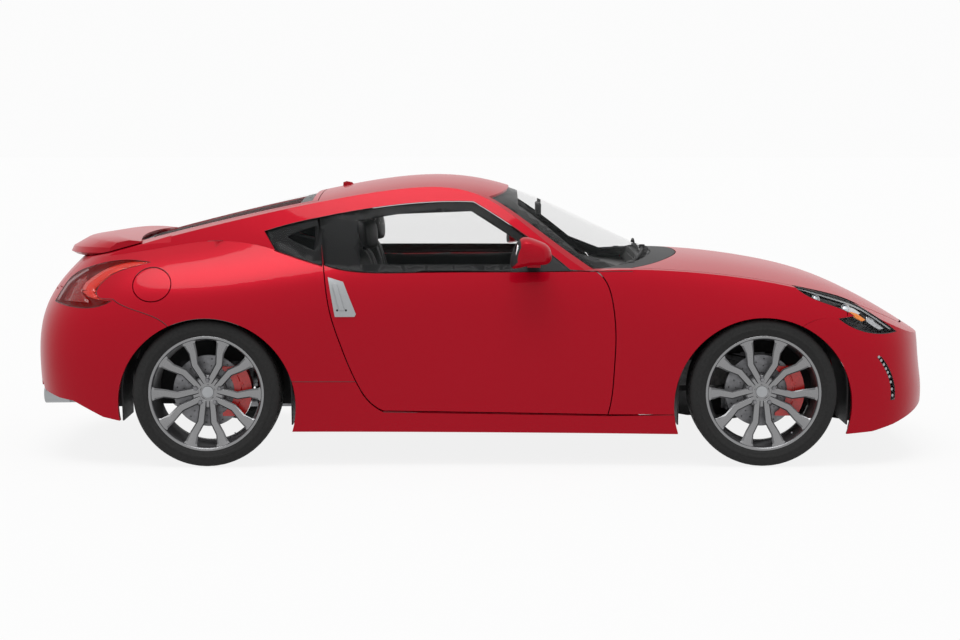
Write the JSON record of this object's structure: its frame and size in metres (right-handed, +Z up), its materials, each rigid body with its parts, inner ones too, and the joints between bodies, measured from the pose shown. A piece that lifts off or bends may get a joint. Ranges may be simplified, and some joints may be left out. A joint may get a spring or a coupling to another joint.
{
  "type": "fastback sports coupe car",
  "caption": "Red two-door fastback sports coupe with opening doors, bonnet and hatch, steered front wheels and a hollow cabin.",
  "frame": {"origin": "centre of the bounding box, on the ground", "axes": "+X forward, +Y to the left, +Z up"},
  "size_m": [4.2477, 2.024, 1.3135],
  "materials": {
    "body_paint": "gloss",
    "glass": "polished",
    "lens": "polished",
    "red_lens": "polished",
    "black_plastic": "satin",
    "tyre_rubber": "matte",
    "alloy": "satin",
    "steel": "satin",
    "red_enamel": "gloss",
    "bright_metal": "satin",
    "leather": "satin",
    "cast_iron": "matte"
  },
  "bodies": {
    "body": {"floor_pan": "steel", "body_side_right": "body_paint", "body_side_left": "body_paint", "roof_panel": "body_paint", "fixed_glass": "glass", "front_fender_right": "body_paint", "front_fender_left": "body_paint", "front_bumper": "body_paint", "rear_bumper": "body_paint", "side_skirts": "body_paint", "headlamps": "lens", "tail_lamps": "red_lens", "front_grille": "black_plastic", "arch_liners": "black_plastic", "cowl_panel": "black_plastic", "exhaust": "bright_metal", "seats": "leather", "dashboard": "leather", "engine_block": "cast_iron", "driveline": "steel", "front_suspension": "steel", "rear_suspension": "steel", "rear_calipers": "red_enamel", "cabin_mirror": "black_plastic", "radiator": "black_plastic", "pillar_covers": "black_plastic"},
    "bonnet": {"bonnet": "body_paint"},
    "hatch": {"hatch_frame": "body_paint", "hatch_glass": "glass", "rear_spoiler": "body_paint"},
    "fuel_lid": {"fuel_lid": "body_paint"},
    "steering_wheel": {"steering_wheel": "leather"},
    "steering_rack": {"steering_rack": "steel"},
    "door_right": {"door_shell_right": "body_paint", "door_glass_right": "glass", "door_mirror_right": "body_paint", "door_handle_right": "bright_metal"},
    "knuckle_right": {"front_knuckle_right": "steel", "front_caliper_right": "red_enamel"},
    "wheel_front_right": {"front_tyre_right": "tyre_rubber", "front_rim_right": "alloy", "front_disc_right": "steel"},
    "wheel_rear_right": {"rear_tyre_right": "tyre_rubber", "rear_rim_right": "alloy", "rear_disc_right": "steel"},
    "door_left": {"door_shell_left": "body_paint", "door_glass_left": "glass", "door_mirror_left": "body_paint", "door_handle_left": "bright_metal"},
    "knuckle_left": {"front_knuckle_left": "steel", "front_caliper_left": "red_enamel"},
    "wheel_front_left": {"front_tyre_left": "tyre_rubber", "front_rim_left": "alloy", "front_disc_left": "steel"},
    "wheel_rear_left": {"rear_tyre_left": "tyre_rubber", "rear_rim_left": "alloy", "rear_disc_left": "steel"}
  },
  "joints": [
    {"name": "bonnet_hinge", "type": "hinge", "parent": "body", "child": "bonnet", "pos_m": [0.665, 0, 0.905], "axis": [0, -1, 0], "range_deg": [0, 50]},
    {"name": "hatch_hinge", "type": "hinge", "parent": "body", "child": "hatch", "pos_m": [-0.79, 0, 1.229], "axis": [0, 1, 0], "range_deg": [0, 60]},
    {"name": "fuel_lid_hinge", "type": "hinge", "parent": "body", "child": "fuel_lid", "pos_m": [-1.43694, -0.84728, 0.83385], "axis": [0, 0.5867, 0.8098], "range_deg": [0, 80]},
    {"name": "steering_wheel_turn", "type": "hinge", "parent": "body", "child": "steering_wheel", "pos_m": [0.16, 0.378, 0.79], "axis": [-0.9063, 0, 0.4226], "range_deg": [-485, 485]},
    {"name": "rack_slide", "type": "slide", "parent": "body", "child": "steering_rack", "axis": [0, 1, 0], "range_m": [-0.074, 0.074]},
    {"name": "door_right_hinge", "type": "hinge", "parent": "body", "child": "door_right", "pos_m": [0.63, -0.866, 0.5], "axis": [0, 0, 1], "range_deg": [0, 65]},
    {"name": "steer_right", "type": "hinge", "parent": "body", "child": "knuckle_right", "pos_m": [1.2885, -0.72, 0.34], "axis": [0, 0, 1], "range_deg": [-32, 32]},
    {"name": "spin_front_right", "type": "hinge", "parent": "knuckle_right", "child": "wheel_front_right", "pos_m": [1.2885, -0.77, 0.34], "axis": [0, 1, 0], "continuous": true},
    {"name": "spin_rear_right", "type": "hinge", "parent": "body", "child": "wheel_rear_right", "pos_m": [-1.2615, -0.775, 0.34], "axis": [0, 1, 0], "continuous": true},
    {"name": "door_left_hinge", "type": "hinge", "parent": "body", "child": "door_left", "pos_m": [0.63, 0.866, 0.5], "axis": [0, 0, -1], "range_deg": [0, 65]},
    {"name": "steer_left", "type": "hinge", "parent": "body", "child": "knuckle_left", "pos_m": [1.2885, 0.72, 0.34], "axis": [0, 0, 1], "range_deg": [-32, 32]},
    {"name": "spin_front_left", "type": "hinge", "parent": "knuckle_left", "child": "wheel_front_left", "pos_m": [1.2885, 0.77, 0.34], "axis": [0, 1, 0], "continuous": true},
    {"name": "spin_rear_left", "type": "hinge", "parent": "body", "child": "wheel_rear_left", "pos_m": [-1.2615, 0.775, 0.34], "axis": [0, 1, 0], "continuous": true}
  ],
  "couplings": [
    {"joint": "steer_left", "follows": "steer_right", "ratio": 1},
    {"joint": "steering_wheel_turn", "follows": "steer_right", "ratio": 15},
    {"joint": "rack_slide", "follows": "steer_right", "m_per_rad": -0.13}
  ]
}
